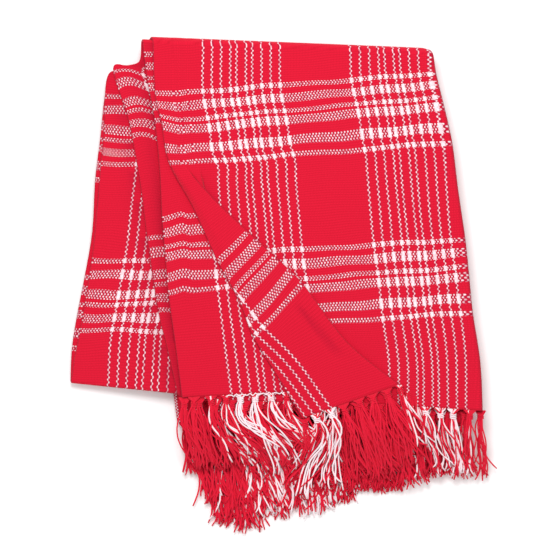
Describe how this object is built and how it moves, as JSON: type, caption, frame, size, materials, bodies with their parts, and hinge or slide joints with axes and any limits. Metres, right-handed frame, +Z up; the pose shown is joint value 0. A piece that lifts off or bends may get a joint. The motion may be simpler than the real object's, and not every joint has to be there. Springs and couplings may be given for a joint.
{
  "type": "throw blanket",
  "caption": "Woven cotton throw blanket, pleated across its width and folded in quarters, with a turned-back flap and knotted fringes at both ends.",
  "frame": {"origin": "middle of the folded throw's outline, on the surface it lies on", "axes": "+Z up from the surface, +Y towards the top fold, away from the front fringe, +X to the right as seen from above"},
  "size_m": [0.4412, 0.5208, 0.0379],
  "materials": {
    "cotton": "matte plain weave, red with white stripes and bands",
    "yarn": "matte twisted cotton yarn, red and white"
  },
  "bodies": {
    "root": {"throw_cloth": "cotton", "front_fringe": "yarn", "back_fringe": "yarn"}
  },
  "joints": []
}
